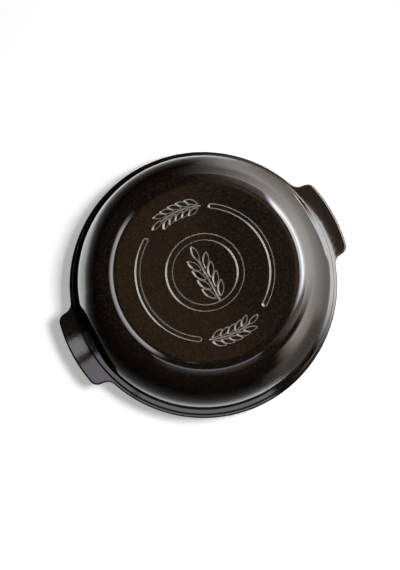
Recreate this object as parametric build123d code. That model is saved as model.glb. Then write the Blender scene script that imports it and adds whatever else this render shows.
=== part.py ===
from build123d import *
import math
import os

# Glazed stoneware bread cloche: a domed lid that stands on a shallow baking base.
# Millimetres, +Z up, origin at the centre of the foot, +X along the two pairs of ears.

# Lid, outside
rim_radius = 142.5
lid_height = 108.0
dome_spread = 39.4
shoulder_radius = 20.0
skirt_height = 4.0
lid_wall = 9.0
band_height = 7.5
ledge_height = 11.5
band_width = 3.5
ledge_width = 5.6
ledge_rounding = 3.2
wall_foot_hollow = 1.6
step_hollow = 0.6

# Lid ears, and the flat above each that makes room for the fingers
ear_length = 15.9
ear_root_half = 42.5
ear_taper = 1.5
ear_corner = 6.0
ear_hollow = 6.0
ear_rounding = 2.6
under_rounding = 1.2
facet_depth = 4.8
facet_lean_degrees = 4.0
facet_hollow = 3.5
facet_hollow_bend = 4.4

# Sunken ornament on the crown
groove_depth = 1.0
ring_radius = 36.4
ring_width = 5.2
arc_inset = 27.0
arc_width = 5.4
arc_half_degrees = 56.5
stem_width = 1.8
grain_length = 10.0
grain_width = 4.2
grain_offset = 4.6
grain_pitch = 7.2
grain_lean_degrees = 32.0
sprig_pairs = 6
centre_pairs = 4

# Base
base_height = 57.0
base_wall = 8.5
base_inset = 1.5
base_wall_spread = 20.7
base_bend = 28.0
base_rim_thickness = 8.5
base_rim_rounding = 2.4
base_ear_thickness = 9.0
finger_gap = 13.0
base_ear_hollow = 3.5
foot_inset = 2.0
foot_width = 6.0
foot_height = 2.5
rib_count = 7
rib_margin = 14.0
rib_width = 3.2
rib_height = 1.2

# Seat: the base's lip stands inside the lid's skirt
lip_height = 4.0
lip_width = 4.5
lip_rounding = 1.4
lip_clearance = 1.2
overrun = 5.0

# Radii and widths that follow
ledge_radius = rim_radius - band_width
wall_foot_radius = ledge_radius - ledge_width
crown_radius = wall_foot_radius - dome_spread
arc_radius = crown_radius - arc_inset
ear_reach = rim_radius + ear_length
ear_tip_half = ear_root_half - ear_taper
facet_distance = wall_foot_radius - facet_depth
lip_outer_radius = wall_foot_radius - lid_wall - lip_clearance
lip_inner_radius = lip_outer_radius - lip_width
base_flat_radius = lip_inner_radius - base_wall_spread
foot_radius = base_flat_radius - foot_inset
rib_pitch = (base_flat_radius - rib_margin) / rib_count


def touching_point(centre, radius, outside):
    """Where a line from an outside point above touches a circle on its outer side."""
    across = outside[0] - centre[0]
    up = outside[1] - centre[1]
    return arc_point(centre, radius, math.atan2(up, across) - math.acos(radius / math.hypot(across, up)))


def on_line(start, end, height):
    """The radius at a height on the line through two points of a wall."""
    share = (height - start[1]) / (end[1] - start[1])
    return start[0] + share * (end[0] - start[0])


def arc_point(centre, radius, turn):
    """A point on a circle, at a turn in radians from the level outward direction."""
    return (centre[0] + radius * math.cos(turn), centre[1] + radius * math.sin(turn))


def spin(face):
    """A half section turned about the vertical axis."""
    return revolve(Plane.XZ * face, Axis.Z, 360)


def eared_plan(plate_radius, reach, root_half, tip_half, corner, hollow):
    """A disc with two opposite ears, its corners rounded, seen from above."""
    tongue = make_face(Polyline((0, -root_half), (plate_radius, -root_half), (reach, -tip_half),
                                (reach, tip_half), (plate_radius, root_half), (0, root_half), close=True))
    tongue = tongue & Circle(reach)
    plan = Circle(plate_radius) + tongue + Rot(0, 0, 180) * tongue
    middle = (plate_radius + reach) / 2
    tips = [v for v in plan.vertices() if math.hypot(v.X, v.Y) > middle]
    plan = fillet(tips, corner)
    roots = [v for v in plan.vertices()
             if math.hypot(v.X, v.Y) < middle and abs(abs(v.Y) - root_half) < corner]
    return fillet(roots, hollow)


def eared_plate(plan, bottom, thickness, top_rounding, bottom_rounding):
    """The plan as a plate, with its upper and lower edges rounded."""
    plate = Pos(0, 0, bottom) * extrude(plan, thickness)
    plate = fillet(plate.edges().group_by(Axis.Z)[-1], top_rounding)
    return fillet(plate.edges().group_by(Axis.Z)[0], bottom_rounding)


def grain(along, across, lean):
    """One ear's grain, leaning out from the stem."""
    return Pos(along, across, 0) * Rot(0, 0, lean) * Ellipse(grain_length / 2, grain_width / 2)


def straight_sprig():
    """A wheat ear that stands in the ring: a stem, pairs of grains and one at the tip."""
    span = centre_pairs * grain_pitch
    foot = -span / 2 - grain_pitch
    sprig = Pos((foot + span / 2) / 2, 0, 0) * Rectangle(span / 2 - foot, stem_width)
    for pair in range(centre_pairs):
        along = -span / 2 + (pair + 1) * grain_pitch
        sprig += grain(along, grain_offset, grain_lean_degrees)
        sprig += grain(along, -grain_offset, -grain_lean_degrees)
    tip = span / 2 + grain_pitch + stem_width
    return Rot(0, 0, 90) * (sprig + grain(tip, 0, 0))


def curved_sprig():
    """A wheat ear laid along the circle of the arcs, in the gap between them."""
    step = math.degrees(grain_pitch / arc_radius)
    start = -step * sprig_pairs / 2
    sprig = Sketch() + groove_arc(arc_radius, stem_width, start - step, -start)
    for pair in range(sprig_pairs):
        place = Rot(0, 0, start + pair * step) * Pos(arc_radius, 0, 0) * Rot(0, 0, 90)
        sprig += place * grain(0, grain_offset, grain_lean_degrees)
        sprig += place * grain(0, -grain_offset, -grain_lean_degrees)
    tip = Rot(0, 0, start + sprig_pairs * step) * Pos(arc_radius, 0, 0) * Rot(0, 0, 90)
    return sprig + tip * grain(0, 0, 0)


def groove_arc(radius, width, start, end):
    """A band along an arc, with round ends."""
    return SlotArc(CenterArc((0, 0), radius, start, end - start), width)


def ornament():
    """Everything that is sunk into the crown, as one flat pattern."""
    ring = Circle(ring_radius + ring_width / 2) - Circle(ring_radius - ring_width / 2)
    pattern = [ring, straight_sprig()]
    for turn in (0, 180):
        arc = groove_arc(arc_radius, arc_width, -arc_half_degrees, arc_half_degrees)
        pattern.append(Rot(0, 0, turn) * arc)
    for turn in (90, -90):
        pattern.append(Rot(0, 0, turn) * curved_sprig())
    return pattern


def wall_bend_radius():
    """Radius of the dome's side, which runs from the upright skirt into the shoulder without a corner."""
    across = wall_foot_radius - crown_radius
    up = lid_height - ledge_height - skirt_height - shoulder_radius
    return (across ** 2 + up ** 2 - shoulder_radius ** 2) / (2 * (across - shoulder_radius))


def dome_face(inset, bottom):
    """Half section of the dome: crown, shoulder, bent side and upright skirt, all moved in by the inset."""
    shoulder = (crown_radius, lid_height - shoulder_radius)
    bend = wall_bend_radius()
    side = (wall_foot_radius - bend, ledge_height + skirt_height)
    turn = math.atan2(shoulder[1] - side[1], shoulder[0] - side[0])
    crown_edge = (crown_radius, lid_height - inset)
    shoulder_middle = arc_point(shoulder, shoulder_radius - inset, (turn + math.pi / 2) / 2)
    joint = arc_point(side, bend - inset, turn)
    skirt_top = arc_point(side, bend - inset, 0)
    outline = Line((0, lid_height - inset), crown_edge)
    outline += ThreePointArc(crown_edge, shoulder_middle, joint)
    outline += ThreePointArc(joint, arc_point(side, bend - inset, turn / 2), skirt_top)
    outline += Polyline(skirt_top, (skirt_top[0], bottom), (0, bottom), (0, lid_height - inset))
    return make_face(outline)


def facet_face():
    """Section of what is cut away over an ear, down to the ledge, with a hollow along its foot."""
    lean = math.tan(math.radians(facet_lean_degrees))
    foot = (facet_distance + facet_hollow, ledge_height)
    side = (facet_distance - lean * facet_hollow, ledge_height + facet_hollow)
    top = (facet_distance - lean * (lid_height - ledge_height), lid_height)
    outline = RadiusArc(side, foot, -facet_hollow_bend)
    outline += Polyline(foot, (rim_radius, ledge_height), (rim_radius, lid_height), top, side)
    return make_face(outline)


def lid_dome():
    """Crown, shoulder, wall and ledge, without the flange, and with a finger flat over each ear."""
    ledge = Pos(ledge_radius / 2, ledge_height / 2) * Rectangle(ledge_radius, ledge_height)
    section = dome_face(0, 0) + ledge
    foot = section.vertices().sort_by_distance((wall_foot_radius, ledge_height))[0]
    section = fillet(foot, wall_foot_hollow)
    edge = section.vertices().sort_by_distance((ledge_radius, ledge_height))[0]
    dome = spin(fillet(edge, ledge_rounding))
    cutter = extrude(Plane.XZ * facet_face(), rim_radius, both=True)
    return dome - cutter - Rot(0, 0, 180) * cutter


def make_lid():
    """The lid in its own place, with its seat at zero height."""
    plan = eared_plan(rim_radius, ear_reach, ear_root_half, ear_tip_half, ear_corner, ear_hollow)
    lid = lid_dome() + eared_plate(plan, 0, band_height, ear_rounding, under_rounding)
    step = [e for e in lid.edges().filter_by(GeomType.CIRCLE)
            if abs(e.radius - ledge_radius) < under_rounding
            and abs(e.center().Z - band_height) < step_hollow]
    lid = fillet(step, step_hollow)
    lid -= spin(dome_face(lid_wall, -overrun))
    for figure in ornament():
        lid -= Pos(0, 0, lid_height) * extrude(figure, -groove_depth)
    return lid


def base_walls():
    """Bend centre of the base's wall, then where its outer and its inner line leave the bend and end."""
    centre = (base_flat_radius, foot_height + base_bend)
    inner_top = (lip_inner_radius, base_height + lip_height)
    inner_touch = touching_point(centre, base_bend - base_wall, inner_top)
    outward = (inner_touch[0] - centre[0], inner_touch[1] - centre[1])
    share = base_bend / (base_bend - base_wall) - 1
    touch = (inner_touch[0] + share * outward[0], inner_touch[1] + share * outward[1])
    top = (inner_top[0] + share * outward[0], inner_top[1] + share * outward[1])
    return centre, touch, top, inner_touch, inner_top


def bowl_face(centre, bend, touch, end):
    """Half section of a bowl's inside or outside: a flat, a bend, and a straight wall up to its end."""
    turn = math.atan2(touch[1] - centre[1], touch[0] - centre[0])
    flat_edge = (centre[0], centre[1] - bend)
    outline = Line((0, flat_edge[1]), flat_edge)
    outline += ThreePointArc(flat_edge, arc_point(centre, bend, (turn - math.pi / 2) / 2), touch)
    outline += Polyline(touch, end, (0, end[1]), (0, flat_edge[1]))
    return make_face(outline)


def base_ears(root, base_rim_radius, under_rim):
    """Two ears under the lid's, each with a boss up to the rim and a hollow that clears the fingers."""
    ear_top = base_height - finger_gap
    ear_bottom = ear_top - base_ear_thickness
    plan = eared_plan(root, ear_reach - base_inset, ear_root_half - base_inset,
                      ear_tip_half - base_inset, ear_corner, ear_hollow)
    plate = eared_plate(plan, ear_bottom, base_ear_thickness, ear_rounding, ear_rounding)
    boss_plan = offset(plan, -ear_rounding) & Circle(base_rim_radius)
    boss_bottom = ear_bottom + ear_rounding
    boss = Pos(0, 0, boss_bottom) * extrude(boss_plan, under_rim + overrun - boss_bottom)
    cove = Pos(base_rim_radius, ear_top) * Rectangle(2 * base_ear_hollow, 2 * base_ear_hollow)
    cove -= Pos(base_rim_radius + base_ear_hollow, ear_top + base_ear_hollow) * Circle(base_ear_hollow)
    cove -= Pos(base_rim_radius, ear_top + 2 * base_ear_hollow) * Rectangle(ear_reach, 2 * base_ear_hollow)
    reach = extrude(offset(plan, -ear_rounding), base_height)
    return plate + boss + (spin(cove) & reach)


def make_base():
    """The base on its foot ring, with its lip, its ears under the lid's, and ribs on its floor."""
    centre, touch, top, inner_touch, inner_top = base_walls()
    base_rim_radius = rim_radius - base_inset
    under_rim = base_height - base_rim_thickness
    section = bowl_face(centre, base_bend, touch, (on_line(touch, top, base_height), base_height))
    rim_middle = under_rim + base_rim_thickness / 2
    section += Pos(base_rim_radius / 2, rim_middle) * Rectangle(base_rim_radius, base_rim_thickness)
    section = fillet(section.vertices().group_by(Axis.X)[-1], base_rim_rounding)
    lip_middle = base_height + lip_height / 2
    section += Pos(lip_outer_radius / 2, lip_middle) * Rectangle(lip_outer_radius, lip_height)
    foot_middle = foot_radius - foot_width / 2
    foot_top = foot_height + base_wall / 2
    section += Pos(foot_middle, foot_top / 2) * Rectangle(foot_width, foot_top)
    body = spin(section)

    ear_root = on_line(touch, top, base_height - finger_gap - base_ear_thickness)
    body += base_ears(ear_root, base_rim_radius, under_rim)

    mouth = base_height + lip_height + overrun
    hollow_end = (on_line(inner_touch, inner_top, mouth), mouth)
    hollow = bowl_face(centre, base_bend - base_wall, inner_touch, hollow_end)
    floor = foot_height + base_wall
    for rib in range(rib_count):
        hollow -= Pos((rib + 1) * rib_pitch, floor) * Ellipse(rib_width / 2, rib_height)
    body -= spin(hollow)
    lip_edges = [e for e in body.edges().filter_by(GeomType.CIRCLE)
                 if abs(e.center().Z - base_height - lip_height) < lip_rounding
                 and e.radius < lip_outer_radius + overrun]
    return fillet(lip_edges, lip_rounding)


os.makedirs("parts", exist_ok=True)
pieces = {"lid": Pos(0, 0, base_height) * make_lid(), "base": make_base()}
for name, piece in pieces.items():
    export_step(piece, "parts/" + name + ".step")
    print(name, "volume in cubic centimetres", round(piece.volume / 1000, 1), "valid", piece.is_valid)
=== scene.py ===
import math

import bmesh
import bpy
from mathutils import Matrix, Vector


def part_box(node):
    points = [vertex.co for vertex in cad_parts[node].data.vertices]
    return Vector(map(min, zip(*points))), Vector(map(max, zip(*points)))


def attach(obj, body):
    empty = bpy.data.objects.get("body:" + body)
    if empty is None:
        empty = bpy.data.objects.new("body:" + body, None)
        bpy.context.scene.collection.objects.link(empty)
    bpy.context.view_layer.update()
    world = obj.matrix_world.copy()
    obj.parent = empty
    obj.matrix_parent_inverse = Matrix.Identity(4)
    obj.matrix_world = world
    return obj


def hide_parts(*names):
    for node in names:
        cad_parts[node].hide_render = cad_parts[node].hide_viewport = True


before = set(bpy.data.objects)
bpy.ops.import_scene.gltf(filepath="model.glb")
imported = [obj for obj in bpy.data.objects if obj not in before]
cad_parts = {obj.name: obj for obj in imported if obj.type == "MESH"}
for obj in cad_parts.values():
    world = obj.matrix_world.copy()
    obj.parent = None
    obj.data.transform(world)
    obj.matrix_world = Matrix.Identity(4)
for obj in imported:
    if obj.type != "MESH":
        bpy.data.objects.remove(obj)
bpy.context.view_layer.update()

# Glazed stoneware bread cloche: a domed lid with two ears, on a shallow baking base.
# Metres, +Z up, +X along the ears. Sizes are written in millimetres times MM.
MM = 0.001

# Overall places, from the frame
lid_low, lid_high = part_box("lid")
base_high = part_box("base")[1]
SEAT = lid_low[2]
CROWN = lid_high[2]
RIM_RADIUS = lid_high[1]
EAR_REACH = lid_high[0]
BASE_RIM_RADIUS = base_high[1]
BASE_EAR_REACH = base_high[0]
LIP_TOP = base_high[2]

# Lid: heights are above its seat, and the crown's edge angle is in degrees
LEDGE_RADIUS = RIM_RADIUS - 3.5 * MM
LEDGE_HEIGHT = 11.5 * MM
LEDGE_ROUNDING = 1.2 * MM
BAND_HEIGHT = 7.5 * MM
STEP_HOLLOW = 0.6 * MM
WALL_FOOT_RADIUS = LEDGE_RADIUS - 5.6 * MM
WALL_FOOT_HOLLOW = 0.5 * MM
SKIRT_HEIGHT = 4 * MM
CROWN_RADIUS = WALL_FOOT_RADIUS - 39.4 * MM
SHOULDER_RADIUS = 20 * MM
CROWN_EDGE_BEND = 65 * MM
CROWN_EDGE_ANGLE = 5.3
LID_WALL = 9 * MM
RIM_ROUNDING = 1.4 * MM
LID_EAR_ROUNDING = 1.8 * MM
EAR_ROUNDING = 2.6 * MM
UNDER_ROUNDING = 1.2 * MM
BARE_MARGIN = 3.5 * MM
EAR_ROOT_HALF = 42.5 * MM
EAR_TAPER = 1.5 * MM
EAR_CORNER = 6 * MM
EAR_HOLLOW = 6 * MM
FACET_DISTANCE = WALL_FOOT_RADIUS - 4.8 * MM
FACET_LEAN = math.radians(4)
FACET_HOLLOW = 3.5 * MM
FACET_HOLLOW_BEND = 4.4 * MM
FACET_SOFTNESS = 1.2 * MM
# The ears and the flats over them lie only where the size of the turn's cosine is at least this
EAR_SIDE = 0.5

# Base
BASE_INSET = RIM_RADIUS - BASE_RIM_RADIUS
BASE_WALL = 8.5 * MM
BASE_BEND = 28 * MM
BASE_RIM_THICKNESS = 8.5 * MM
BASE_RIM_ROUNDING = 2.4 * MM
BASE_EAR_THICKNESS = 9 * MM
BASE_EAR_INSET = EAR_ROUNDING
FINGER_GAP = 13 * MM
BASE_EAR_HOLLOW = 3.5 * MM
FOOT_HEIGHT = 2.5 * MM
FOOT_INSET = 2 * MM
FOOT_WIDTH = 6 * MM
LIP_OUTER = WALL_FOOT_RADIUS - LID_WALL - 1.2 * MM
LIP_INNER = LIP_OUTER - 4.5 * MM
LIP_ROUNDING = 1.4 * MM
BASE_FLAT_RADIUS = LIP_INNER - 20.7 * MM
RIB_COUNT = 7
RIB_WIDTH = 3.2 * MM
RIB_HEIGHT = 1.2 * MM
RIB_PITCH = (BASE_FLAT_RADIUS - 14 * MM) / RIB_COUNT

# Sunk ornament on the crown
GROOVE_DEPTH = 1.0 * MM
GROOVE_SIDE = 1.0 * MM
RING_RADIUS = 35.6 * MM
RING_WIDTH = 7.4 * MM
ARC_RADIUS = CROWN_RADIUS - 27 * MM
ARC_WIDTH = 5.4 * MM
ARC_HALF_ANGLE = math.radians(56.5)
STEM_WIDTH = 1.8 * MM
GRAIN_LENGTH = 13.5 * MM
GRAIN_WIDTH = 5.6 * MM
GRAIN_OFFSET = 5 * MM
GRAIN_PITCH = 8 * MM
GRAIN_LEAN = math.radians(28)
SPRIG_PAIRS = 5
CENTRE_PAIRS = 4
CENTRE_SCALE = 1.3

# Skin of the meshes: spacing of the crown's rings, steps of the turn in degrees, and the angles in
# degrees up to which an edge is shaded smooth
FINE = 0.5 * MM
COARSE = 4 * MM
PLAIN_STEP = 2.0
ORNAMENT_STEP = 0.6
CORNER_STEP = 0.5
LID_SMOOTH = 50
BASE_SMOOTH = 35
# Points closer than this are one; a strip's outermost faces are this wide; and a point lies on the
# crown or on the floor when it is this close to its level
MERGE = 0.001 * MM
STRIP_END = 0.1 * MM
CROWN_SLACK = 0.1 * MM
FLOOR_SLACK = 0.05 * MM
# Halvings when an outline's radius is searched for
HALVINGS = 40

# Colour sockets of a Mix node
MIX_A = 6
MIX_B = 7
MIX_RESULT = 2


def linear(code):
    """An sRGB hex colour as the linear colour that Blender takes."""
    shares = [int(code[k:k + 2], 16) / 255 for k in (1, 3, 5)]
    return (*(s / 12.92 if s <= 0.04045 else ((s + 0.055) / 1.055) ** 2.4 for s in shares), 1.0)


def add(tree, kind, inputs=None, **settings):
    """Adds a node with its settings and links. An input is a value, a node, whose first output feeds
    it, or a socket; a list feeds one input from several."""
    made = tree.nodes.new(kind)
    for name, value in settings.items():
        setattr(made, name, value)
    for key, given in (inputs or {}).items():
        for one in given if isinstance(given, list) else [given]:
            if isinstance(one, bpy.types.Node):
                tree.links.new(one.outputs[0], made.inputs[key])
            elif isinstance(one, bpy.types.NodeSocket):
                tree.links.new(one, made.inputs[key])
            else:
                made.inputs[key].default_value = one
    return made


def ramp(value, start, end):
    """Nought at the start, one at the end, and smooth between."""
    share = min(max((value - start) / (end - start), 0), 1)
    return share * share * (3 - 2 * share)


# Plan of an eared rim

def either(a, b, radius):
    """Distance to the union of two shapes, with a hollow of this radius where they meet."""
    return max(min(a, b), radius) - math.hypot(max(radius - a, 0), max(radius - b, 0))


def both(a, b, radius):
    """Distance to what two shapes share, with its corner rounded to this radius."""
    return min(max(a, b), -radius) + math.hypot(max(a + radius, 0), max(b + radius, 0))


def soft_lower(a, b, width):
    """The lower of two values, blended over a width."""
    share = max(width - abs(a - b), 0) / width
    return min(a, b) - share * share * width / 4


def plan_distance(turn, radius, plate, reach, root_half, tip_half):
    """Distance from a point to the outline of a disc with two ears, below zero inside it."""
    x = abs(radius * math.cos(turn))
    y = abs(radius * math.sin(turn))
    taper = math.hypot(reach - plate, root_half - tip_half)
    side = ((x - plate) * (root_half - tip_half) + (y - root_half) * (reach - plate)) / taper
    ear = both(side, radius - reach, EAR_CORNER)
    return either(radius - plate, ear, EAR_HOLLOW)


def plan_radius(turn, inset, plate, reach, inset_ears=0.0):
    """Where a ray from the middle crosses the outline, once it is moved in by the inset."""
    low = plate / 2
    high = reach + EAR_CORNER
    root_half = EAR_ROOT_HALF - inset_ears
    for _ in range(HALVINGS):
        middle = (low + high) / 2
        if plan_distance(turn, middle, plate, reach, root_half, root_half - EAR_TAPER) < -inset:
            low = middle
        else:
            high = middle
    return low


# Section lines: each is a list of (radius, height) points

def steps(start, end, count):
    """Evenly spaced values after the start, up to the end."""
    return [start + (end - start) * k / count for k in range(1, count + 1)]


def level_steps(start, end, count):
    """Steps over a level strip, with one close to each end that keeps its shading level."""
    keep = math.copysign(STRIP_END, end - start)
    return [start + keep, *steps(start + keep, end - keep, count), end]


def bow(centre, radius, start, end, count):
    """Points along a bend, after its start; angles in degrees from level outwards."""
    turns = [math.radians(a) for a in steps(start, end, count)]
    return [(centre[0] + radius * math.cos(t), centre[1] + radius * math.sin(t)) for t in turns]


def rounding(radius, start, end, count):
    """How far in and how far down the points of an outer rounding lie, for the same angles as bow."""
    turns = [math.radians(a) for a in steps(start, end, count)]
    return [(radius * (1 - math.cos(t)), radius * (1 - math.sin(t))) for t in turns]


def dome_bends():
    """Centres of the dome's shoulder and side, the side's radius, and the angle where they meet."""
    shoulder = (CROWN_RADIUS, CROWN - SEAT - SHOULDER_RADIUS)
    skirt_top = LEDGE_HEIGHT + SKIRT_HEIGHT
    across = WALL_FOOT_RADIUS - CROWN_RADIUS
    up = shoulder[1] - skirt_top
    bend = (across ** 2 + up ** 2 - SHOULDER_RADIUS ** 2) / (2 * (across - SHOULDER_RADIUS))
    side = (WALL_FOOT_RADIUS - bend, skirt_top)
    meet = math.degrees(math.atan2(shoulder[1] - side[1], shoulder[0] - side[0]))
    return shoulder, side, bend, meet


def dome_radius(height, side, bend):
    """Outer radius of the dome's side at a height, with the hollow at its foot."""
    hollow = LEDGE_HEIGHT + WALL_FOOT_HOLLOW
    if height < hollow:
        drop = hollow - height
        return WALL_FOOT_RADIUS + WALL_FOOT_HOLLOW - math.sqrt(max(WALL_FOOT_HOLLOW ** 2 - drop ** 2, 0))
    if height < side[1]:
        return WALL_FOOT_RADIUS
    return side[0] + math.sqrt(bend ** 2 - (height - side[1]) ** 2)


def facet_radius(height):
    """How far out the flat over an ear stands at a height, with the hollow at its foot."""
    rise = height - LEDGE_HEIGHT
    lean = math.tan(FACET_LEAN)
    if rise > FACET_HOLLOW:
        return FACET_DISTANCE - lean * rise
    foot = (FACET_HOLLOW, 0.0)
    top = (-lean * FACET_HOLLOW, FACET_HOLLOW)
    chord = math.dist(foot, top)
    away = math.sqrt(FACET_HOLLOW_BEND ** 2 - (chord / 2) ** 2) / chord
    centre_out = (foot[0] + top[0]) / 2 + away * (top[1] - foot[1])
    centre_up = (foot[1] + top[1]) / 2 + away * (foot[0] - top[0])
    return FACET_DISTANCE + centre_out - math.sqrt(FACET_HOLLOW_BEND ** 2 - (centre_up - rise) ** 2)


def walls_at(turn, height, side, bend):
    """Outer radius of the lid's wall at a turn and height, where a flat may cut the round side."""
    round_side = dome_radius(height, side, bend)
    across = abs(math.cos(turn))
    if across < EAR_SIDE:
        return round_side
    return soft_lower(round_side, facet_radius(height) / across, FACET_SOFTNESS)


def crown_edge():
    """Where the crown starts to bend down, and how far it has sunk where the shoulder takes over."""
    angle = math.radians(CROWN_EDGE_ANGLE)
    start = CROWN_RADIUS + (SHOULDER_RADIUS - CROWN_EDGE_BEND) * math.sin(angle)
    return start, CROWN_EDGE_BEND * (1 - math.cos(angle))


def crown_rings():
    """Radii of the crown's rings, close together where the ornament lies."""
    ring_low = RING_RADIUS - RING_WIDTH / 2 - FINE
    ring_high = RING_RADIUS + RING_WIDTH / 2 + FINE
    sprig_half = GRAIN_OFFSET + GRAIN_LENGTH / 2 * math.sin(GRAIN_LEAN) + 2 * FINE
    sprig_low = ARC_RADIUS - sprig_half
    sprig_high = ARC_RADIUS + sprig_half
    rings = [0.0]
    for end, step in ((ring_low, FINE), (ring_high, FINE), (sprig_low, COARSE), (sprig_high, FINE),
                      (crown_edge()[0], COARSE)):
        start = rings[-1]
        rings += steps(start, end, max(1, round((end - start) / step)))
    return rings


def lid_section(turn):
    """The lid's closed section at a turn, from the crown's middle out, down, under and back inside."""
    shoulder, side, bend, meet = dome_bends()
    top = CROWN - SEAT
    rows = [(r, top) for r in crown_rings()]
    rows += bow((rows[-1][0], top - CROWN_EDGE_BEND), CROWN_EDGE_BEND, 90, 90 - CROWN_EDGE_ANGLE, 8)
    rounded = bow(shoulder, SHOULDER_RADIUS, 90 - CROWN_EDGE_ANGLE, meet, 14)
    lower = crown_edge()[1] - SHOULDER_RADIUS * (1 - math.cos(math.radians(CROWN_EDGE_ANGLE)))
    rows += [(r, z - lower * (1 - k / len(rounded))) for k, (r, z) in enumerate(rounded, 1)]
    heights = [side[1] + bend * math.sin(math.radians(a)) for a in steps(meet, 0, 16)]
    heights += steps(side[1], LEDGE_HEIGHT + WALL_FOOT_HOLLOW, 4)
    heights += [LEDGE_HEIGHT + up for _, up in rounding(WALL_FOOT_HOLLOW, 0, 90, 8)]
    rows += [(walls_at(turn, height, side, bend), height) for height in heights]
    ledge_edge = LEDGE_RADIUS - LEDGE_ROUNDING
    rows += [(r, LEDGE_HEIGHT) for r in level_steps(rows[-1][0], ledge_edge, 3)]
    rows += bow((ledge_edge, LEDGE_HEIGHT - LEDGE_ROUNDING), LEDGE_ROUNDING, 90, 0, 8)
    rows += bow((LEDGE_RADIUS + STEP_HOLLOW, BAND_HEIGHT + STEP_HOLLOW), STEP_HOLLOW, 180, 270, 4)
    on_ear = ramp(plan_radius(turn, 0, RIM_RADIUS, EAR_REACH) - RIM_RADIUS, 0, EAR_REACH - RIM_RADIUS)
    edge = RIM_ROUNDING + (LID_EAR_ROUNDING - RIM_ROUNDING) * on_ear
    flat_end = plan_radius(turn, edge, RIM_RADIUS, EAR_REACH)
    rows += [(r, BAND_HEIGHT) for r in level_steps(rows[-1][0], flat_end, 5)]
    for inset, drop in rounding(edge, 90, 0, 7):
        rows.append((plan_radius(turn, inset, RIM_RADIUS, EAR_REACH), BAND_HEIGHT - drop))
    outline = rows[-1][0]
    rows += [(outline, height) for height in steps(rows[-1][1], UNDER_ROUNDING, 2)]
    for inset, height in rounding(UNDER_ROUNDING, 0, 90, 4):
        rows.append((plan_radius(turn, inset, RIM_RADIUS, EAR_REACH), height))
    bare_edge = RIM_RADIUS - BARE_MARGIN
    inner_foot = WALL_FOOT_RADIUS - LID_WALL
    rows += [(r, 0.0) for r in steps(rows[-1][0], bare_edge, 2)]
    bare_from = len(rows)
    rows += [(r, 0.0) for r in steps(bare_edge, inner_foot, 2)]
    bare_to = len(rows)
    rows += [(inner_foot, height) for height in steps(0.0, side[1], 4)]
    rows += bow(side, bend - LID_WALL, 0, meet, 12)
    rows += bow(shoulder, SHOULDER_RADIUS - LID_WALL, meet, 90, 10)
    rows += [(r, top - LID_WALL) for r in steps(CROWN_RADIUS, 0.0, 6)]
    return [(r, SEAT + z) for r, z in rows], bare_from, bare_to


def base_lines():
    """The base's bend centre, the angle where its walls leave it, and both ends of the inner wall."""
    centre = (BASE_FLAT_RADIUS, FOOT_HEIGHT + BASE_BEND)
    inner = BASE_BEND - BASE_WALL
    across = LIP_INNER - centre[0]
    up = LIP_TOP - centre[1]
    leave = math.atan2(up, across) - math.acos(inner / math.hypot(across, up))
    touch = (centre[0] + inner * math.cos(leave), centre[1] + inner * math.sin(leave))
    return centre, leave, touch


def base_outer(height, centre, leave):
    """Outer radius of the base's wall at a height."""
    if height > centre[1] + BASE_BEND * math.sin(leave):
        reach = centre[0] + BASE_BEND * math.cos(leave)
        return reach - (height - centre[1] - BASE_BEND * math.sin(leave)) * math.tan(leave)
    return centre[0] + math.sqrt(BASE_BEND ** 2 - (height - centre[1]) ** 2)


def floor_rings():
    """Radii of the rings on the base's floor, close together on the ribs."""
    rings = [0.0]
    for rib in range(1, RIB_COUNT + 1):
        low = rib * RIB_PITCH - RIB_WIDTH / 2
        high = rib * RIB_PITCH + RIB_WIDTH / 2
        rings += steps(rings[-1], low, 3)
        middle = (low + high) / 2
        rings += [middle - RIB_WIDTH / 2 * math.cos(math.radians(a)) for a in steps(0, 180, 12)]
    return rings + steps(rings[-1], BASE_FLAT_RADIUS, 3)


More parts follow.
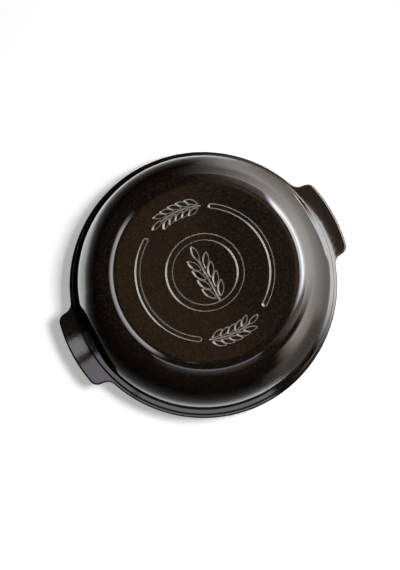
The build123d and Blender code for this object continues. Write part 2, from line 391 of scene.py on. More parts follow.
def base_section(turn):
    """The base's closed section at a turn, from the floor's middle up, over the rim and back under."""
    centre, leave, touch = base_lines()
    floor = FOOT_HEIGHT + BASE_WALL
    leave_degrees = math.degrees(leave)
    rows = [(r, floor) for r in floor_rings()]
    rows += bow(centre, BASE_BEND - BASE_WALL, -90, leave_degrees, 12)
    lip_start = LIP_TOP - LIP_ROUNDING
    slope = (LIP_INNER - touch[0]) / (LIP_TOP - touch[1])
    rows += [(touch[0] + (z - touch[1]) * slope, z) for z in steps(touch[1], lip_start, 6)]
    rows += bow((LIP_INNER + LIP_ROUNDING, lip_start), LIP_ROUNDING, 180, 90, 5)
    rows += bow((LIP_OUTER - LIP_ROUNDING, lip_start), LIP_ROUNDING, 90, 0, 5)
    rows.append((LIP_OUTER, SEAT))

    boss = min(BASE_RIM_RADIUS, ear_edge(turn, BASE_EAR_INSET, centre, leave, SEAT - FINGER_GAP))
    rim_edge = BASE_RIM_RADIUS - BASE_RIM_ROUNDING
    under_rim = SEAT - BASE_RIM_THICKNESS
    rows += [(r, SEAT) for r in steps(LIP_OUTER, rim_edge, 3)]
    rows += bow((rim_edge, SEAT - BASE_RIM_ROUNDING), BASE_RIM_ROUNDING, 90, 0, 6)
    low_bow = [(BASE_RIM_RADIUS, under_rim + BASE_RIM_ROUNDING)]
    low_bow += bow((rim_edge, under_rim + BASE_RIM_ROUNDING), BASE_RIM_ROUNDING, 0, -90, 6)
    low_bow += [(r, under_rim) for r in steps(rim_edge, base_outer(under_rim, centre, leave), 4)]
    rows += [(max(r, boss), z) for r, z in low_bow]
    rows += ear_rows(turn, boss, under_rim, centre, leave)

    bend_top = min(centre[1] + BASE_BEND * math.sin(leave), rows[-1][1])
    rows.append((base_outer(bend_top, centre, leave), bend_top))
    start = math.degrees(math.asin((bend_top - centre[1]) / BASE_BEND))
    rows += bow(centre, BASE_BEND, start, -90, 14)
    foot_radius = BASE_FLAT_RADIUS - FOOT_INSET
    rows.append((foot_radius, FOOT_HEIGHT))
    rows += [(foot_radius, z) for z in steps(FOOT_HEIGHT, 0.0, 2)]
    bare_from = len(rows)
    rows += [(r, 0.0) for r in steps(foot_radius, foot_radius - FOOT_WIDTH, 3)]
    bare_to = len(rows)
    rows += [(rows[-1][0], z) for z in steps(0.0, FOOT_HEIGHT, 2)]
    rows += [(r, FOOT_HEIGHT) for r in steps(rows[-1][0], 0.0, 6)]
    return rows, bare_from, bare_to


def ear_edge(turn, inset, centre, leave, height):
    """Radius of the base's ear at a turn, or of the wall behind it where no ear stands."""
    wall = base_outer(height, centre, leave)
    if abs(math.cos(turn)) < EAR_SIDE:
        return wall
    return max(wall, plan_radius(turn, inset, wall, BASE_EAR_REACH, BASE_INSET))


def ear_rows(turn, boss, under_rim, centre, leave):
    """From the rim down the boss, over the hollow, along the ear and back under it to the wall."""
    ear_top = SEAT - FINGER_GAP
    ear_bottom = ear_top - BASE_EAR_THICKNESS
    rows = []
    hollow_top = ear_top + BASE_EAR_HOLLOW
    for z in steps(under_rim, hollow_top, 2):
        rows.append((max(boss, base_outer(z, centre, leave)), z))
    edge = ear_edge(turn, BASE_EAR_INSET, centre, leave, ear_top)
    for angle in steps(0, 90, 6):
        out = BASE_EAR_HOLLOW * (1 - math.cos(math.radians(angle)))
        z = hollow_top - BASE_EAR_HOLLOW * math.sin(math.radians(angle))
        wall = base_outer(z, centre, leave)
        rows.append((max(wall, min(boss + out, edge)) if boss >= BASE_RIM_RADIUS else max(wall, boss), z))
    rows += [(r, ear_top) for r in steps(rows[-1][0], edge, 3)]
    insets = [(inset, ear_top - drop) for inset, drop in rounding(EAR_ROUNDING, 90, 0, 6)]
    insets.append((0.0, ear_bottom + EAR_ROUNDING))
    insets += [(inset, ear_bottom + up) for inset, up in rounding(EAR_ROUNDING, 0, 90, 6)]
    rows += [(ear_edge(turn, inset, centre, leave, z), z) for inset, z in insets]
    wall = base_outer(ear_bottom, centre, leave)
    rows += [(r, ear_bottom) for r in steps(rows[-1][0], wall, 3)]
    return rows


# Skins

def turns(zones):
    """Turns round the axis, by the plain step, and by finer ones in zones of (from, to, step)."""
    hair = 1e-6
    values = []
    angle = 0.0
    while angle < 360 - hair:
        values.append(math.radians(angle))
        step = PLAIN_STEP
        for start, end, fine in zones:
            if start - hair <= angle < end - hair:
                step = fine
        angle += step
    return values


def ear_corners(start, end):
    """Zones of finer turns from start to end, and where mirroring puts them, at all the ears' corners."""
    return [(start, end, CORNER_STEP), (180 - end, 180 - start, CORNER_STEP),
            (180 + start, 180 + end, CORNER_STEP), (360 - end, 360 - start, CORNER_STEP)]


def skin(name, section, angles):
    """A closed mesh from one closed section per turn; faces of the unglazed rows carry an attribute."""
    columns = []
    for turn in angles:
        rows, bare_from, bare_to = section(turn)
        columns.append([(r * math.cos(turn), r * math.sin(turn), z) for r, z in rows])
    height = len(columns[0])
    points = [p for column in columns for p in column]
    faces = []
    bare = []
    for k in range(len(columns)):
        here = k * height
        there = (k + 1) % len(columns) * height
        for row in range(height - 1):
            faces.append((here + row, here + row + 1, there + row + 1, there + row))
            bare.append(bare_from - 1 <= row < bare_to - 1)
    mesh = bpy.data.meshes.new(name)
    mesh.from_pydata(points, [], faces)
    mesh.attributes.new("bare", "BOOLEAN", "FACE").data.foreach_set("value", bare)
    shaped = bmesh.new()
    shaped.from_mesh(mesh)
    bmesh.ops.remove_doubles(shaped, verts=shaped.verts, dist=MERGE)
    bmesh.ops.dissolve_degenerate(shaped, edges=shaped.edges, dist=MERGE)
    bmesh.ops.recalc_face_normals(shaped, faces=shaped.faces)
    shaped.to_mesh(mesh)
    shaped.free()
    piece = bpy.data.objects.new(name, mesh)
    bpy.context.scene.collection.objects.link(piece)
    return piece


def sharpen(piece, limit):
    """Smooth shading, apart from edges that turn by the limit in degrees or more."""
    shaped = bmesh.new()
    shaped.from_mesh(piece.data)
    for face in shaped.faces:
        face.smooth = True
    for edge in shaped.edges:
        edge.smooth = edge.calc_face_angle(0.0) < math.radians(limit)
    shaped.to_mesh(piece.data)
    shaped.free()


# Geometry Nodes

def new_tree(name, inputs):
    """A geometry tree with a mesh in and out, and named inputs with their values in metres."""
    tree = bpy.data.node_groups.new(name, "GeometryNodeTree")
    tree.interface.new_socket("Mesh", in_out="INPUT", socket_type="NodeSocketGeometry")
    for label, value in inputs.items():
        kind = "NodeSocketInt" if isinstance(value, int) else "NodeSocketFloat"
        tree.interface.new_socket(label, in_out="INPUT", socket_type=kind)
    for label in ("Glaze", "Clay"):
        tree.interface.new_socket(label, in_out="INPUT", socket_type="NodeSocketMaterial")
    tree.interface.new_socket("Mesh", in_out="OUTPUT", socket_type="NodeSocketGeometry")
    return tree, tree.nodes.new("NodeGroupInput").outputs


def finish_tree(tree, given, geometry):
    """Ends a tree: real geometry, glaze everywhere, and clay on the unglazed faces."""
    real = add(tree, "GeometryNodeRealizeInstances", {"Geometry": geometry})
    glazed = add(tree, "GeometryNodeSetMaterial", {"Geometry": real, "Material": given["Glaze"]})
    bare = add(tree, "GeometryNodeInputNamedAttribute", {"Name": "bare"}, data_type="BOOLEAN")
    done = add(tree, "GeometryNodeSetMaterial", {
        "Geometry": glazed, "Selection": bare, "Material": given["Clay"]})
    add(tree, "NodeGroupOutput", {"Mesh": done})


def applied(piece, tree, values):
    """Runs a tree on a piece and keeps its result as the piece's plain mesh."""
    modifier = piece.modifiers.new("made", "NODES")
    modifier.node_group = tree
    for item in tree.interface.items_tree:
        if item.in_out == "INPUT" and item.name in values:
            modifier[item.identifier] = values[item.name]
    graph = bpy.context.evaluated_depsgraph_get()
    result = bpy.data.meshes.new_from_object(piece.evaluated_get(graph), depsgraph=graph)
    piece.modifiers.remove(modifier)
    piece.data = result
    result.name = piece.name


def wheat_ear(tree, given, pairs):
    """A wheat ear along X, centred: the edge of its stem, and the floors of its grains as faces."""
    span = add(tree, "ShaderNodeMath", {0: pairs, 1: given["Grain Pitch"]}, operation="MULTIPLY")
    first = add(tree, "ShaderNodeMath", {0: span, 1: -0.5}, operation="MULTIPLY")
    tip = add(tree, "ShaderNodeMath", {0: span, 1: 0.5}, operation="MULTIPLY")
    foot = add(tree, "ShaderNodeMath", {0: first, 1: given["Grain Pitch"]}, operation="SUBTRACT")
    foot = add(tree, "ShaderNodeCombineXYZ", {"X": foot})
    start = add(tree, "ShaderNodeCombineXYZ", {"X": first})
    end = add(tree, "ShaderNodeCombineXYZ", {"X": tip})
    stem = add(tree, "GeometryNodeCurvePrimitiveLine", {"Start": foot, "End": end})
    stem = add(tree, "GeometryNodeResampleCurve", {"Curve": stem, "Count": 48})
    stem = add(tree, "GeometryNodeCurveToMesh", {"Curve": stem})

    # One grain: a circle drawn out to a pointed leaf
    circle = add(tree, "GeometryNodeCurvePrimitiveCircle", {"Resolution": 32, "Radius": 1.0})
    round_place = add(tree, "ShaderNodeSeparateXYZ", {"Vector": add(tree, "GeometryNodeInputPosition")})
    away = add(tree, "ShaderNodeMath", {0: round_place.outputs["Y"]}, operation="ABSOLUTE")
    across = add(tree, "ShaderNodeMath", {0: round_place.outputs["Y"], 1: away}, operation="MULTIPLY")
    pointed = add(tree, "ShaderNodeCombineXYZ", {"X": round_place.outputs["X"], "Y": across})
    leaf = add(tree, "GeometryNodeSetPosition", {"Geometry": circle, "Position": pointed})
    leaf = add(tree, "GeometryNodeFillCurve", {"Curve": leaf}, mode="NGONS")
    half_long = add(tree, "ShaderNodeMath", {0: given["Grain Length"], 1: 0.5}, operation="MULTIPLY")
    half_long = add(tree, "ShaderNodeMath", {0: half_long, 1: given["Groove Side"]}, operation="SUBTRACT")
    half_wide = add(tree, "ShaderNodeMath", {0: given["Grain Width"], 1: 0.5}, operation="MULTIPLY")
    half_wide = add(tree, "ShaderNodeMath", {0: half_wide, 1: given["Groove Side"]}, operation="SUBTRACT")
    size = add(tree, "ShaderNodeCombineXYZ", {"X": half_long, "Y": half_wide, "Z": 1.0})
    grain = add(tree, "GeometryNodeTransform", {"Geometry": leaf, "Scale": size})

    sides = []
    for way in (1, -1):
        lean = add(tree, "ShaderNodeMath", {0: given["Grain Lean"], 1: way}, operation="MULTIPLY")
        out = add(tree, "ShaderNodeMath", {0: given["Grain Offset"], 1: way}, operation="MULTIPLY")
        lean = add(tree, "ShaderNodeCombineXYZ", {"Z": lean})
        out = add(tree, "ShaderNodeCombineXYZ", {"Y": out})
        sides.append(add(tree, "GeometryNodeTransform", {
            "Geometry": grain, "Translation": out, "Rotation": lean}))
    pair = add(tree, "GeometryNodeJoinGeometry", {"Geometry": sides})
    step = add(tree, "ShaderNodeCombineXYZ", {"X": given["Grain Pitch"]})
    places = add(tree, "GeometryNodeMeshLine", {"Count": pairs, "Start Location": start, "Offset": step})
    along = add(tree, "GeometryNodeInstanceOnPoints", {"Points": places, "Instance": pair})
    last = add(tree, "GeometryNodeTransform", {"Geometry": grain, "Translation": end})
    grains = add(tree, "GeometryNodeJoinGeometry", {"Geometry": [along, last]})
    return stem, add(tree, "GeometryNodeRealizeInstances", {"Geometry": grains})


def bent_round(tree, given, part):
    """Bends a part along X round the circle of the arcs: along becomes a turn, across a radius."""
    place = add(tree, "ShaderNodeSeparateXYZ", {"Vector": add(tree, "GeometryNodeInputPosition")})
    radius = add(tree, "ShaderNodeMath", {
        0: given["Arc Radius"], 1: place.outputs["Y"]}, operation="SUBTRACT")
    turn = add(tree, "ShaderNodeMath", {0: place.outputs["X"], 1: given["Arc Radius"]}, operation="DIVIDE")
    cosine = add(tree, "ShaderNodeMath", {0: turn}, operation="COSINE")
    sine = add(tree, "ShaderNodeMath", {0: turn}, operation="SINE")
    x = add(tree, "ShaderNodeMath", {0: radius, 1: cosine}, operation="MULTIPLY")
    y = add(tree, "ShaderNodeMath", {0: radius, 1: sine}, operation="MULTIPLY")
    return add(tree, "GeometryNodeSetPosition", {
        "Geometry": part, "Position": add(tree, "ShaderNodeCombineXYZ", {"X": x, "Y": y})})


def sunk_ornament():
    """Tree that sinks the ring, the two arcs and three wheat ears into the crown, with soft sides.
    It marks the sides with a share for a painted highlight: a pale colour that stands for the light the
    grooves' edges catch."""
    sizes = {
        "Crown Height": CROWN, "Groove Depth": GROOVE_DEPTH, "Groove Side": GROOVE_SIDE,
        "Ring Radius": RING_RADIUS, "Ring Width": RING_WIDTH,
        "Arc Radius": ARC_RADIUS, "Arc Width": ARC_WIDTH, "Arc Half Angle": ARC_HALF_ANGLE,
        "Stem Width": STEM_WIDTH, "Grain Length": GRAIN_LENGTH, "Grain Width": GRAIN_WIDTH,
        "Grain Offset": GRAIN_OFFSET, "Grain Pitch": GRAIN_PITCH, "Grain Lean": GRAIN_LEAN,
        "Outer Pairs": SPRIG_PAIRS, "Centre Pairs": CENTRE_PAIRS, "Centre Scale": CENTRE_SCALE,
    }
    tree, given = new_tree("sunk ornament", sizes)
    ring = add(tree, "GeometryNodeCurvePrimitiveCircle", {"Resolution": 180, "Radius": given["Ring Radius"]})
    ring = add(tree, "GeometryNodeCurveToMesh", {"Curve": ring})
    start = add(tree, "ShaderNodeMath", {0: given["Arc Half Angle"], 1: -1.0}, operation="MULTIPLY")
    sweep = add(tree, "ShaderNodeMath", {0: given["Arc Half Angle"], 1: 2.0}, operation="MULTIPLY")
    arc = add(tree, "GeometryNodeCurveArc", {
        "Resolution": 120, "Radius": given["Arc Radius"], "Start Angle": start, "Sweep Angle": sweep})
    arc = add(tree, "GeometryNodeCurveToMesh", {"Curve": arc})
    stem, grains = wheat_ear(tree, given, given["Outer Pairs"])
    stem = bent_round(tree, given, stem)
    grains = bent_round(tree, given, grains)
    middle_stem, middle_grains = wheat_ear(tree, given, given["Centre Pairs"])
    larger = add(tree, "ShaderNodeCombineXYZ", {
        "X": given["Centre Scale"], "Y": given["Centre Scale"], "Z": given["Centre Scale"]})
    middle_stem = add(tree, "GeometryNodeTransform", {"Geometry": middle_stem, "Scale": larger})
    middle_grains = add(tree, "GeometryNodeTransform", {"Geometry": middle_grains, "Scale": larger})

    def placed(parts):
        """Parts with their turns about the axis in degrees, lifted to the crown's height."""
        turned = []
        for part, degrees in parts:
            turned.append(add(tree, "GeometryNodeTransform", {
                "Geometry": part, "Rotation": Vector((0, 0, math.radians(degrees)))}))
        joined = add(tree, "GeometryNodeJoinGeometry", {"Geometry": turned})
        lift = add(tree, "ShaderNodeCombineXYZ", {"Z": given["Crown Height"]})
        return add(tree, "GeometryNodeTransform", {"Geometry": joined, "Translation": lift})

    arcs = placed([(arc, 0), (arc, 180)])
    stems = placed([(stem, 90), (stem, -90), (middle_stem, 90)])
    floors = placed([(grains, 90), (grains, -90), (middle_grains, 90)])
    depth = None
    for figure, element, width in ((placed([(ring, 0)]), "EDGES", "Ring Width"), (arcs, "EDGES", "Arc Width"),
                                   (stems, "EDGES", "Stem Width"), (floors, "FACES", None)):
        near = add(tree, "GeometryNodeProximity", {"Geometry": figure}, target_element=element)
        far = given["Groove Side"]
        if width:
            far = add(tree, "ShaderNodeMath", {0: given[width], 1: 0.5}, operation="MULTIPLY")
        floor_end = add(tree, "ShaderNodeMath", {0: far, 1: given["Groove Side"]}, operation="SUBTRACT")
        floor_end = add(tree, "ShaderNodeMath", {0: floor_end, 1: 0.0}, operation="MAXIMUM")
        share = add(tree, "ShaderNodeMapRange", {
            "Value": near.outputs["Distance"], "From Min": floor_end, "From Max": far,
            "To Min": 1.0, "To Max": 0.0}, interpolation_type="SMOOTHSTEP")
        depth = add(tree, "ShaderNodeMath", {0: depth, 1: share}, operation="MAXIMUM") if depth else share
    drop = add(tree, "ShaderNodeMath", {0: depth, 1: given["Groove Depth"]}, operation="MULTIPLY")
    drop = add(tree, "ShaderNodeMath", {0: drop, 1: -1.0}, operation="MULTIPLY")
    here = add(tree, "ShaderNodeSeparateXYZ", {"Vector": add(tree, "GeometryNodeInputPosition")})
    top_only = add(tree, "ShaderNodeMath", {0: given["Crown Height"], 1: CROWN_SLACK}, operation="SUBTRACT")
    on_crown = add(tree, "FunctionNodeCompare", {0: here.outputs["Z"], 1: top_only}, operation="GREATER_THAN")
    # Painted highlight: a share that is highest halfway down each groove's side, which the glaze colours pale
    rest = add(tree, "ShaderNodeMath", {0: 1.0, 1: depth}, operation="SUBTRACT")
    highlight_share = add(tree, "ShaderNodeMath", {0: depth, 1: rest}, operation="MULTIPLY")
    highlight_share = add(tree, "ShaderNodeMath", {0: highlight_share, 1: 4.0}, operation="MULTIPLY")
    marked = add(tree, "GeometryNodeStoreNamedAttribute", {
        "Geometry": given["Mesh"], "Selection": on_crown, "Name": "thin_glaze", "Value": highlight_share})
    sunk = add(tree, "GeometryNodeSetPosition", {
        "Geometry": marked, "Selection": on_crown, "Offset": add(tree, "ShaderNodeCombineXYZ", {"Z": drop})})
    finish_tree(tree, given, sunk)
    return tree, sizes


def floor_ribs():
    """Tree that raises ring-shaped ribs on the base's floor."""
    sizes = {
        "Floor Height": FOOT_HEIGHT + BASE_WALL, "Rib Count": RIB_COUNT, "Rib Pitch": RIB_PITCH,
        "Rib Width": RIB_WIDTH, "Rib Height": RIB_HEIGHT,
    }
    tree, given = new_tree("floor ribs", sizes)
    place = add(tree, "GeometryNodeInputPosition")
    height = add(tree, "ShaderNodeSeparateXYZ", {"Vector": place}).outputs["Z"]
    level = add(tree, "ShaderNodeVectorMath", {0: place, 1: (1.0, 1.0, 0.0)}, operation="MULTIPLY")
    radius = add(tree, "ShaderNodeVectorMath", {0: level}, operation="LENGTH").outputs["Value"]
    number = add(tree, "ShaderNodeMath", {0: radius, 1: given["Rib Pitch"]}, operation="DIVIDE")
    number = add(tree, "ShaderNodeMath", {0: number}, operation="ROUND")
    number = add(tree, "ShaderNodeMath", {0: number, 1: 1.0}, operation="MAXIMUM")
    number = add(tree, "ShaderNodeMath", {0: number, 1: given["Rib Count"]}, operation="MINIMUM")
    middle = add(tree, "ShaderNodeMath", {0: number, 1: given["Rib Pitch"]}, operation="MULTIPLY")
    off = add(tree, "ShaderNodeMath", {0: radius, 1: middle}, operation="SUBTRACT")
    half = add(tree, "ShaderNodeMath", {0: given["Rib Width"], 1: 0.5}, operation="MULTIPLY")
    share = add(tree, "ShaderNodeMath", {0: off, 1: half}, operation="DIVIDE")
    squared = add(tree, "ShaderNodeMath", {0: share, 1: share}, operation="MULTIPLY")
    left = add(tree, "ShaderNodeMath", {0: 1.0, 1: squared}, operation="SUBTRACT")
    left = add(tree, "ShaderNodeMath", {0: left, 1: 0.0}, operation="MAXIMUM")
    rounded = add(tree, "ShaderNodeMath", {0: left}, operation="SQRT")
    rise = add(tree, "ShaderNodeMath", {0: rounded, 1: given["Rib Height"]}, operation="MULTIPLY")
    on_floor = add(tree, "FunctionNodeCompare", {
        0: height, 1: given["Floor Height"], "Epsilon": FLOOR_SLACK}, operation="EQUAL")
    offset = add(tree, "ShaderNodeCombineXYZ", {"Z": rise})
    raised = add(tree, "GeometryNodeSetPosition", {
        "Geometry": given["Mesh"], "Selection": on_floor, "Offset": offset})
    finish_tree(tree, given, raised)
    return tree, sizes


# Materials

def new_material(name):
    """A new material, with its tree and its Principled shader."""
    material = bpy.data.materials.new(name)
    material.use_nodes = True
    return material, material.node_tree, material.node_tree.nodes["Principled BSDF"]


def black_glaze():
    """Iron-black stoneware glaze, fired glossy: almost black with a mottled brown depth, a faint
    orange-peel surface, and fine reddish specks where iron came through. On the sunk lines' sides a
    pale colour is painted in, a painted highlight for the light that their edges catch."""
    material, tree, shader = new_material("iron_black_glaze")
    place = add(tree, "ShaderNodeTexCoord").outputs["Object"]
    mottle = add(tree, "ShaderNodeTexNoise", {"Vector": place, "Scale": 1 / (3 * MM), "Detail": 3.0})
    mottle = add(tree, "ShaderNodeMapRange", {"Value": mottle, "From Min": 0.32, "From Max": 0.68})
    ground = add(tree, "ShaderNodeMix", {
        "Factor": mottle, MIX_A: linear("#0b0907"), MIX_B: linear("#1e1813")}, data_type="RGBA")
    # Iron specks of about 0.8 mm, drawn somewhat coarser than life so that they show
    specks = add(tree, "ShaderNodeTexVoronoi", {"Vector": place, "Scale": 1 / (2 * MM)})
    near = add(tree, "ShaderNodeMapRange", {
        "Value": specks.outputs["Distance"], "From Min": 0.1, "From Max": 0.4, "To Min": 0.9, "To Max": 0.0})
    some = add(tree, "ShaderNodeSeparateColor", {"Color": specks.outputs["Color"]})
    chosen = add(tree, "ShaderNodeMath", {0: some, 1: 0.6}, operation="GREATER_THAN")
    share = add(tree, "ShaderNodeMath", {0: near, 1: chosen}, operation="MULTIPLY")
    speckled = add(tree, "ShaderNodeMix", {
        "Factor": share, MIX_A: ground.outputs[MIX_RESULT], MIX_B: linear("#472c1b")}, data_type="RGBA")
    # Painted highlight: the grooves' sides, marked by the ornament tree, are coloured pale grey
    highlight_share = add(tree, "ShaderNodeAttribute", attribute_name="thin_glaze").outputs["Fac"]
    colour = add(tree, "ShaderNodeMix", {
        "Factor": highlight_share, MIX_A: speckled.outputs[MIX_RESULT], MIX_B: linear("#aaa196")}, data_type="RGBA")
    tree.links.new(colour.outputs[MIX_RESULT], shader.inputs["Base Color"])

    film = add(tree, "ShaderNodeTexNoise", {"Vector": place, "Scale": 1 / (6 * MM), "Detail": 2.0})
    gloss = add(tree, "ShaderNodeMapRange", {
        "Value": film, "From Min": 0.3, "From Max": 0.7, "To Min": 0.03, "To Max": 0.05})
    tree.links.new(gloss.outputs[0], shader.inputs["Roughness"])
    peel = add(tree, "ShaderNodeTexNoise", {"Vector": place, "Scale": 1 / (5 * MM), "Detail": 2.0})
    peel = add(tree, "ShaderNodeBump", {"Height": peel, "Strength": 1.0, "Distance": 0.006 * MM})
    tree.links.new(peel.outputs[0], shader.inputs["Normal"])
    shader.inputs["IOR"].default_value = 1.8
    return material


def biscuit_clay():
    """Stoneware fired without glaze: warm buff, dry and grainy, wiped clean for the kiln shelf."""
    material, tree, shader = new_material("biscuit_clay")
    place = add(tree, "ShaderNodeTexCoord").outputs["Object"]
    grit = add(tree, "ShaderNodeTexNoise", {"Vector": place, "Scale": 1 / (0.8 * MM), "Detail": 3.0})
    colour = add(tree, "ShaderNodeMix", {
        "Factor": grit, MIX_A: linear("#8d6a50"), MIX_B: linear("#b08a6c")}, data_type="RGBA")
    tree.links.new(colour.outputs[MIX_RESULT], shader.inputs["Base Color"])
    rough = add(tree, "ShaderNodeBump", {"Height": grit, "Strength": 1.0, "Distance": 0.05 * MM})
    tree.links.new(rough.outputs[0], shader.inputs["Normal"])
    shader.inputs["Roughness"].default_value = 0.85
    return material


# The cloche

glaze = black_glaze()
clay = biscuit_clay()

# The lid's turns are also finer across its wheat ears and the ends of its arcs
lid_zones = [(54, 126, ORNAMENT_STEP), (234, 306, ORNAMENT_STEP), *ear_corners(12, 21)]
lid = skin("glazed_lid", lid_section, turns(lid_zones))
tree, sizes = sunk_ornament()
applied(lid, tree, {**sizes, "Glaze": glaze, "Clay": clay})
sharpen(lid, LID_SMOOTH)
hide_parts("lid")
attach(lid, "lid")

base = skin("glazed_base", base_section, turns(ear_corners(10, 22)))
tree, sizes = floor_ribs()
applied(base, tree, {**sizes, "Glaze": glaze, "Clay": clay})
sharpen(base, BASE_SMOOTH)
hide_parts("base")
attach(base, "base")


# Studio

# The photograph: 400 by 570 pixels, seen from almost straight above
TILT = math.radians(6.4)
TILT_TURN = math.radians(-97)
EARS_IN_IMAGE = math.radians(28.5)
CAMERA_DISTANCE = 1.5
PIXEL = 1.063 * MM
IMAGE_WIDTH_PIXELS = 400
RIM_RIGHT_PIXELS = 3.5
RIM_UP_PIXELS = 1.5
RIM_LEVEL = SEAT + BAND_HEIGHT
# The dark end of the table: its turns in the image, and the white sheet's edge every 20 degrees
DARK_TURNS = (62, 342)
SHEET_EDGE = (170, 168, 164, 162, 176, 220, 222, 144, 142, 159, 163, 162, 165, 172, 172)
# Faces along and across each card
CARD_COLUMNS = 72
CARD_ROWS = 24
# Distances from the object between which the table's own glow rises to white
GLOW_RISE = (0.4, 1.5)
# Heights of the cards round the lens: most lie just below it, and three strips lie lower
CEILING_LEVEL = 1.45
RIGHT_STRIP_LEVEL = 0.45
LOW_STRIP_LEVEL = 0.3
WARM_WHITE = "#fff6ee"
COOL_WHITE = "#f4f0ff"
image_right = Vector((math.cos(EARS_IN_IMAGE), -math.sin(EARS_IN_IMAGE), 0))
image_up = Vector((math.sin(EARS_IN_IMAGE), math.cos(EARS_IN_IMAGE), 0))


def level_place(turn_degrees, radius, height):
    """A point by its turn in the image, from image right towards image up, its radius and its height."""
    turn = math.radians(turn_degrees)
    level = image_right * math.cos(turn) + image_up * math.sin(turn)
    return level * radius + Vector((0, 0, height))


def close_over(height):
    """Places on a level card close over the table, by turn and radius."""
    return lambda turn, radius: level_place(turn, radius, height)


def upright(radius):
    """Places on an upright card that bends round the object, by turn and height."""
    return lambda turn, height: level_place(turn, radius, height)


def sky_place(turn_degrees, off_degrees, distance):
    """A point round the crown, by its turn in the image and its angle off vertical."""
    off = math.radians(off_degrees)
    return level_place(turn_degrees, distance * math.sin(off), CROWN + distance * math.cos(off))


def round_crown(distance):
    """Places at a distance from the crown, by turn and angle off vertical."""
    return lambda turn, off: sky_place(turn, off, distance)


def along(levels, share):
    """The level at a share of the way along evenly spaced levels."""
    at = share * (len(levels) - 1)
    low = min(int(at), len(levels) - 2)
    return levels[low] + (levels[low + 1] - levels[low]) * (at - low)


def card(name, place, turn_range, fade, side_range, levels, covers=(1, 1), code="#ffffff"):
    """A curved card that only the gloss mirrors. Place gives its points by turn and by a value of the
    side range. Its ends fade out over the two fade angles. Its brightness and how much it covers run
    from the first level to the last along the side range."""
    points = []
    brightness = []
    cover = []
    for i in range(CARD_COLUMNS + 1):
        turn = turn_range[0] + (turn_range[1] - turn_range[0]) * i / CARD_COLUMNS
        ends = 1.0
        if fade:
            ends = ramp(turn, turn_range[0], turn_range[0] + fade[0])
            ends *= ramp(-turn, -turn_range[1], -turn_range[1] + fade[1])
        for j in range(CARD_ROWS + 1):
            points.append(place(turn, side_range[0] + (side_range[1] - side_range[0]) * j / CARD_ROWS))
            brightness.append(along(levels, j / CARD_ROWS))
            cover.append(ends * along(covers, j / CARD_ROWS))
    faces = []
    for i in range(CARD_COLUMNS):
        for j in range(CARD_ROWS):
            here = i * (CARD_ROWS + 1) + j
            there = here + CARD_ROWS + 1
            faces.append((here, here + 1, there + 1, there))
    mesh = bpy.data.meshes.new(name)
    mesh.from_pydata(points, [], faces)
    mesh.attributes.new("level", "FLOAT", "POINT").data.foreach_set("value", brightness)
    mesh.attributes.new("cover", "FLOAT", "POINT").data.foreach_set("value", cover)
    sheet = bpy.data.objects.new(name, mesh)
    bpy.context.scene.collection.objects.link(sheet)
    material, tree, shader = new_material(name)
    tree.nodes.remove(shader)
    level = add(tree, "ShaderNodeAttribute", attribute_name="level").outputs["Fac"]
    share = add(tree, "ShaderNodeAttribute", attribute_name="cover").outputs["Fac"]
    light = add(tree, "ShaderNodeEmission", {"Color": linear(code), "Strength": level})
    seen = add(tree, "ShaderNodeMixShader", {0: share, 1: add(tree, "ShaderNodeBsdfTransparent"), 2: light})
    tree.links.new(seen.outputs[0], tree.nodes["Material Output"].inputs["Surface"])
    mesh.materials.append(material)
    sheet.visible_camera = False
    sheet.visible_shadow = False
    sheet.visible_diffuse = False


def lamp(name, turn, off, distance, size, power):
    """A square soft box that faces the object, and that the gloss doesn't mirror: the cards do that."""
    data = bpy.data.lights.new(name, "AREA")
    data.size = size
    data.energy = power
    box = bpy.data.objects.new(name, data)
    bpy.context.scene.collection.objects.link(box)
    box.location = sky_place(turn, off, distance)
    box.rotation_euler = box.location.to_track_quat("Z", "Y").to_euler()
    box.visible_camera = False
    box.visible_glossy = False


def backdrop_share(tree):
    """One for rays that see the background: from the camera, or mirrored or sent on by the object."""
    path = add(tree, "ShaderNodeLightPath")
    share = add(tree, "ShaderNodeMath", {
        0: path.outputs["Is Camera Ray"], 1: path.outputs["Is Glossy Ray"]}, operation="MAXIMUM")
    return add(tree, "ShaderNodeMath", {
        0: share, 1: path.outputs["Is Transmission Ray"]}, operation="MAXIMUM")


def pale_floor(size, code, glow):
    """White table: lit like paper, with a little glow of its own for rays that see the background.
    The glow grows to full white away from the object, where the lamp's light falls off."""
    mesh = bpy.data.meshes.new("floor")
    corners = [(-size, -size, 0), (size, -size, 0), (size, size, 0), (-size, size, 0)]
    mesh.from_pydata(corners, [], [(0, 1, 2, 3)])
    floor = bpy.data.objects.new("floor", mesh)
    bpy.context.scene.collection.objects.link(floor)
    material, tree, shader = new_material("white_table")
    shader.inputs["Base Color"].default_value = linear(code)
    shader.inputs["Roughness"].default_value = 0.9
    shader.inputs["Specular IOR Level"].default_value = 0.0
    place = add(tree, "ShaderNodeTexCoord").outputs["Object"]
    away = add(tree, "ShaderNodeVectorMath", {0: place}, operation="LENGTH").outputs["Value"]
    rising = add(tree, "ShaderNodeMapRange", {
        "Value": away, "From Min": GLOW_RISE[0], "From Max": GLOW_RISE[1], "To Min": glow, "To Max": 1.0})
    strength = add(tree, "ShaderNodeMath", {0: backdrop_share(tree), 1: rising}, operation="MULTIPLY")
    light = add(tree, "ShaderNodeEmission", {"Strength": strength})
    total = add(tree, "ShaderNodeAddShader", {0: shader, 1: light})
    tree.links.new(total.outputs[0], tree.nodes["Material Output"].inputs["Surface"])
    mesh.materials.append(material)


def pale_world(ambient):
    """Dim light from all round; rays that see the background find it white."""
    world = bpy.data.worlds.new("studio")
    world.use_nodes = True
    bpy.context.scene.world = world
    tree = world.node_tree
    level = add(tree, "ShaderNodeMapRange", {"Value": backdrop_share(tree), "To Min": ambient, "To Max": 1.0})
    back = tree.nodes["Background"]
    tree.links.new(level.outputs[0], back.inputs["Strength"])
    back.inputs["Color"].default_value = (1, 1, 1, 1)


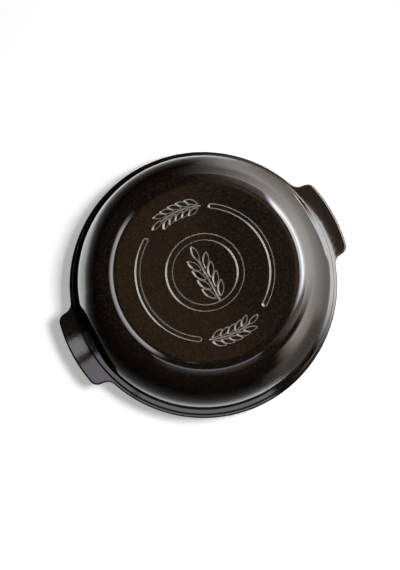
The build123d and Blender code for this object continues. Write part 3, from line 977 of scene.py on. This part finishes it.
def beside_lens(height):
    """Places on a level card, by turn and radius round the middle of what the crown mirrors there."""
    share = (height - CROWN) / (camera.location.z - CROWN)
    middle = Vector((-camera.location.x * share, -camera.location.y * share, 0))
    return lambda turn, radius: level_place(turn, radius, height) + middle


def table_end(turn, out):
    """A place just over the table, out from the edge of the white sheet that the object stands on."""
    edge = along(SHEET_EDGE, (turn - DARK_TURNS[0]) / (DARK_TURNS[1] - DARK_TURNS[0]))
    return level_place(turn, edge * MM + out, 3 * MM)


camera_data = bpy.data.cameras.new("camera")
camera_data.sensor_fit = "HORIZONTAL"
camera_data.lens = camera_data.sensor_width * CAMERA_DISTANCE / (PIXEL * IMAGE_WIDTH_PIXELS)
camera_data.clip_end = 100
camera = bpy.data.objects.new("camera", camera_data)
bpy.context.scene.collection.objects.link(camera)
side = image_right * math.cos(TILT_TURN) + image_up * math.sin(TILT_TURN)
away = Vector((0, 0, math.cos(TILT))) + side * math.sin(TILT)
camera_up = (image_up - away * image_up.dot(away)).normalized()
camera_right = camera_up.cross(away)
target = Vector((0, 0, RIM_LEVEL)) - (camera_right * RIM_RIGHT_PIXELS + camera_up * RIM_UP_PIXELS) * PIXEL
camera.location = target + away * CAMERA_DISTANCE
camera.rotation_euler = Matrix((camera_right, camera_up, away)).transposed().to_euler()
bpy.context.scene.camera = camera
bpy.context.scene.view_settings.view_transform = "Standard"

pale_floor(size=30.0, code="#f4f4f4", glow=0.37)
pale_world(ambient=0.07)
lamp("key_box", turn=-12, off=12.5, distance=1.5, size=0.26, power=20.5)

# The dark room, and the table's dark end to the left and below, which sets in gently
card("black_tent", round_crown(3.0), (0, 360), None, (0.5, 93.3), (0, 0))
card("dark_table_end", table_end, DARK_TURNS, (36, 14), (0, 0.3), (0, 0),
     covers=(0, 0.8, 0.94, 0.98, 1, 1, 1, 1, 1, 1, 1))
card("dark_table_rest", table_end, DARK_TURNS, (36, 14), (0.3, 3.2), (0, 0))
# The brown ceiling round the lens, which the level parts mirror
card("ceiling", beside_lens(CEILING_LEVEL), (0, 360), None, (0.02, 0.178), (0.04, 0.04), code="#ffe3c4")
card("warm_ceiling", beside_lens(CEILING_LEVEL - 10 * MM), (72, 335), (36, 50), (0.02, 0.178),
     (0.145, 0.145), code="#ffcc90")
card("ceiling_right", beside_lens(CEILING_LEVEL), (-30, 95), (30, 35), (0.178, 0.34),
     (0.1, 0.4, 0.16, 0.16), code="#ffdcb0")
# The white sheet is dim to the right of the object, in the shade of the wall card
card("shaded_sheet", close_over(6 * MM), (-50, 100), (24, 40), (0.15, 0.41),
     (0.15, 0.35, 0.7, 1.1, 1.4, 1.6), code=WARM_WHITE)
card("shaded_corner", close_over(9 * MM), (-62, -8), (20, 14), (0.15, 0.3),
     (0.1, 0.14, 0.25, 0.6), covers=(1, 1, 1, 0), code=WARM_WHITE)
# A hot soft box with its spill, and a tall white wall, stand to the right
card("key_card", round_crown(2.8), (-4, 60), (20, 6), (12.5, 44.5),
     (0.6, 3.6, 9.5, 12.5, 10.8, 8, 6, 5, 4.2), covers=(0, 1, 1, 1, 1, 1, 1, 1, 1))
card("key_spill", round_crown(2.9), (-40, 97), (30, 37), (12, 50),
     (0.2, 0.5, 0.75, 0.9, 1.1), code=WARM_WHITE)
card("right_wall", upright(0.42), (-25, 108), (32, 86), (0.0, 0.52),
     (1.6, 2.6, 3.6, 4.0, 4.6), code=WARM_WHITE)
card("low_wall", upright(0.415), (-48, 8), (22, 12), (0.0, 0.26),
     (1.3, 2.3, 2.6, 1.8), covers=(1, 1, 1, 0), code=WARM_WHITE)
# Narrow strips beside the lens, which the crown's left edge, the left ear and the rim's steps mirror
card("left_strip", beside_lens(LOW_STRIP_LEVEL), (138, 248), (18, 20), (0.107, 0.131),
     (2.7, 3.6, 3.6, 3.2, 2.0, 1.0, 0.4))
card("ear_strip", beside_lens(CEILING_LEVEL), (203, 210.5), (0.5, 0.2), (0.27, 0.35), (1.9, 1.9))
card("rim_strip", beside_lens(CEILING_LEVEL), (213.5, 240), (0.2, 4), (0.24, 0.35), (1.5, 1.5),
     code=COOL_WHITE)
card("rim_strip_below", beside_lens(LOW_STRIP_LEVEL), (236, 308), (4, 6), (0.142, 0.159), (1.5, 1.5),
     code=COOL_WHITE)
card("rim_strip_right", beside_lens(RIGHT_STRIP_LEVEL), (-30, 42), (30, 14), (0.165, 0.184), (5.8, 6.4))
# A dim card on the picture's lower side, which the shoulder mirrors
card("low_card", round_crown(1.2), (232, 314), (16, 6), (13, 53),
     (0.05, 0.45, 0.3, 0.12, 0.03), covers=(0, 1, 1, 1, 1))
